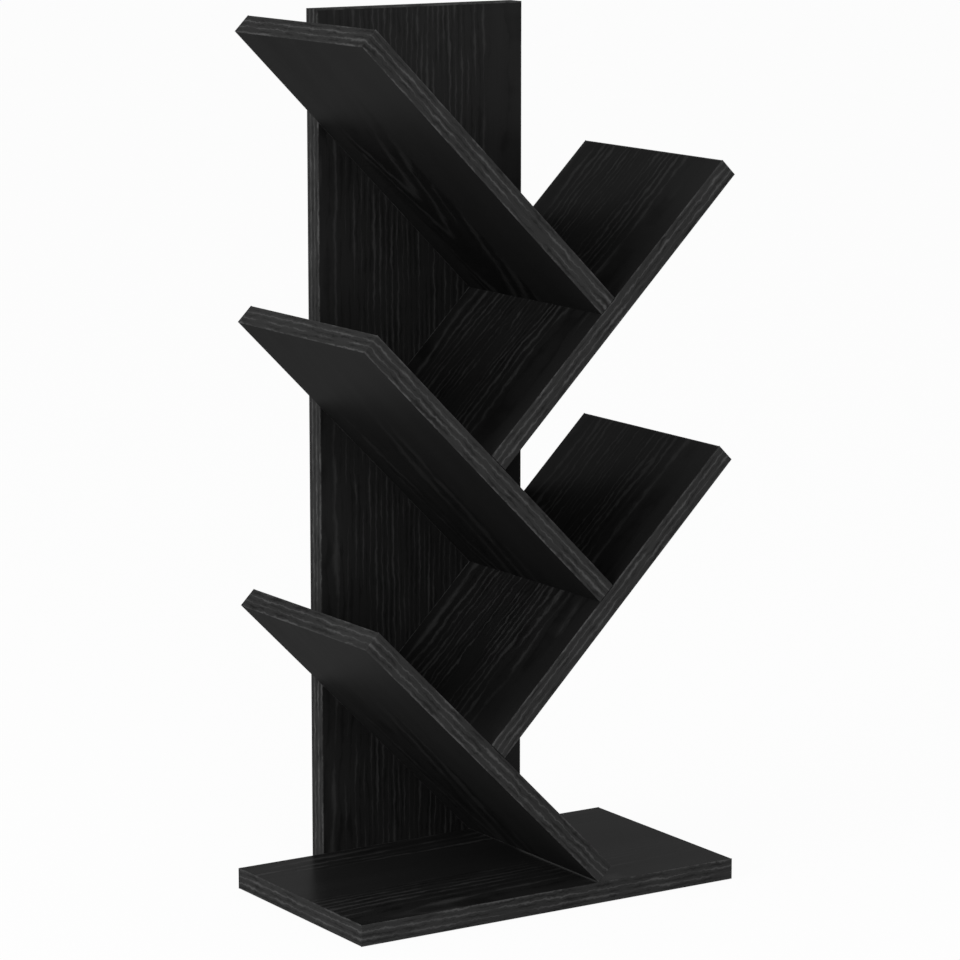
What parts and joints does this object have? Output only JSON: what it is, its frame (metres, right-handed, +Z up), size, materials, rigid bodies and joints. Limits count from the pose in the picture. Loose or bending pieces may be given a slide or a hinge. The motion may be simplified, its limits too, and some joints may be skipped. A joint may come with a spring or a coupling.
{
  "type": "tree shaped bookshelf",
  "caption": "Small tree shaped bookshelf in near-black wood grain board: slanted shelves branch left and right from an upright back board behind a flat base, with V shaped bays for books.",
  "frame": {"origin": "on the floor, under the middle of the overall box: half the width of the base, and half way from the front of the base to the rear face of the back board", "axes": "+X to the right seen from the front, +Y to the back, +Z up"},
  "size_m": [0.31, 0.1852, 0.6202],
  "materials": {
    "board_foil": "near-black foil over engineered wood, embossed with a wood grain, satin",
    "edge_strip": "near-black plastic edge strip printed with fine lighter grain lines, satin",
    "screw_steel": "zinc plated",
    "dowel_wood": "bare pale hardwood"
  },
  "bodies": {
    "root": {"back_board": "board_foil", "back_board_left_strip": "edge_strip", "back_board_right_strip": "edge_strip", "back_board_top_strip": "edge_strip", "base_board": "board_foil", "base_board_front_strip": "edge_strip", "base_board_left_strip": "edge_strip", "base_board_rear_dowel_1": "dowel_wood", "base_board_rear_dowel_2": "dowel_wood", "base_board_rear_screw_1": "screw_steel", "base_board_rear_screw_2": "screw_steel", "base_board_rear_strip": "edge_strip", "base_board_right_strip": "edge_strip", "left_shelf_bottom": "board_foil", "left_shelf_bottom_free_end_strip": "edge_strip", "left_shelf_bottom_front_strip": "edge_strip", "left_shelf_bottom_low_end_strip": "edge_strip", "left_shelf_bottom_rear_dowel": "dowel_wood", "left_shelf_bottom_rear_screw_1": "screw_steel", "left_shelf_bottom_rear_screw_2": "screw_steel", "left_shelf_bottom_rear_strip": "edge_strip", "left_shelf_middle": "board_foil", "left_shelf_middle_end_screw_1": "screw_steel", "left_shelf_middle_end_screw_2": "screw_steel", "left_shelf_middle_free_end_strip": "edge_strip", "left_shelf_middle_front_strip": "edge_strip", "left_shelf_middle_rear_dowel": "dowel_wood", "left_shelf_middle_rear_screw_1": "screw_steel", "left_shelf_middle_rear_screw_2": "screw_steel", "left_shelf_middle_rear_strip": "edge_strip", "left_shelf_top": "board_foil", "left_shelf_top_end_screw_1": "screw_steel", "left_shelf_top_end_screw_2": "screw_steel", "left_shelf_top_free_end_strip": "edge_strip", "left_shelf_top_front_strip": "edge_strip", "left_shelf_top_rear_dowel": "dowel_wood", "left_shelf_top_rear_screw_1": "screw_steel", "left_shelf_top_rear_screw_2": "screw_steel", "left_shelf_top_rear_strip": "edge_strip", "right_shelf_lower": "board_foil", "right_shelf_lower_end_dowel_1": "dowel_wood", "right_shelf_lower_end_dowel_2": "dowel_wood", "right_shelf_lower_free_end_strip": "edge_strip", "right_shelf_lower_front_strip": "edge_strip", "right_shelf_lower_rear_dowel": "dowel_wood", "right_shelf_lower_rear_screw_1": "screw_steel", "right_shelf_lower_rear_screw_2": "screw_steel", "right_shelf_lower_rear_strip": "edge_strip", "right_shelf_upper": "board_foil", "right_shelf_upper_end_dowel_1": "dowel_wood", "right_shelf_upper_end_dowel_2": "dowel_wood", "right_shelf_upper_free_end_strip": "edge_strip", "right_shelf_upper_front_strip": "edge_strip", "right_shelf_upper_rear_dowel": "dowel_wood", "right_shelf_upper_rear_screw_1": "screw_steel", "right_shelf_upper_rear_screw_2": "screw_steel", "right_shelf_upper_rear_strip": "edge_strip"}
  },
  "joints": []
}
